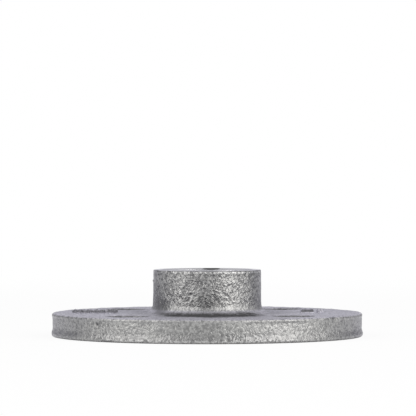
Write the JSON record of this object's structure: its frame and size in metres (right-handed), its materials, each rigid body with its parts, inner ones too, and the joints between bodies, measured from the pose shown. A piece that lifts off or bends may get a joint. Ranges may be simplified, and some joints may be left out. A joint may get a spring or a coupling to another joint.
{
  "type": "threaded floor flange",
  "caption": "Round cast pipe floor flange: a flat plate with a short threaded collar at its centre and countersunk screw holes around it.",
  "frame": {"origin": "centre of the bore in the plane of the flat underside, where the flange stands on a floor", "axes": "+Z along the bore's axis, out of the collar's face; +X and +Y each point midway between two neighbouring screw holes"},
  "size_m": [0.1142, 0.1142, 0.0244],
  "materials": {
    "galvanised_iron": "dull hot-dip zinc with a fine cast texture"
  },
  "bodies": {
    "root": {"floor_flange": "galvanised_iron"}
  },
  "joints": []
}
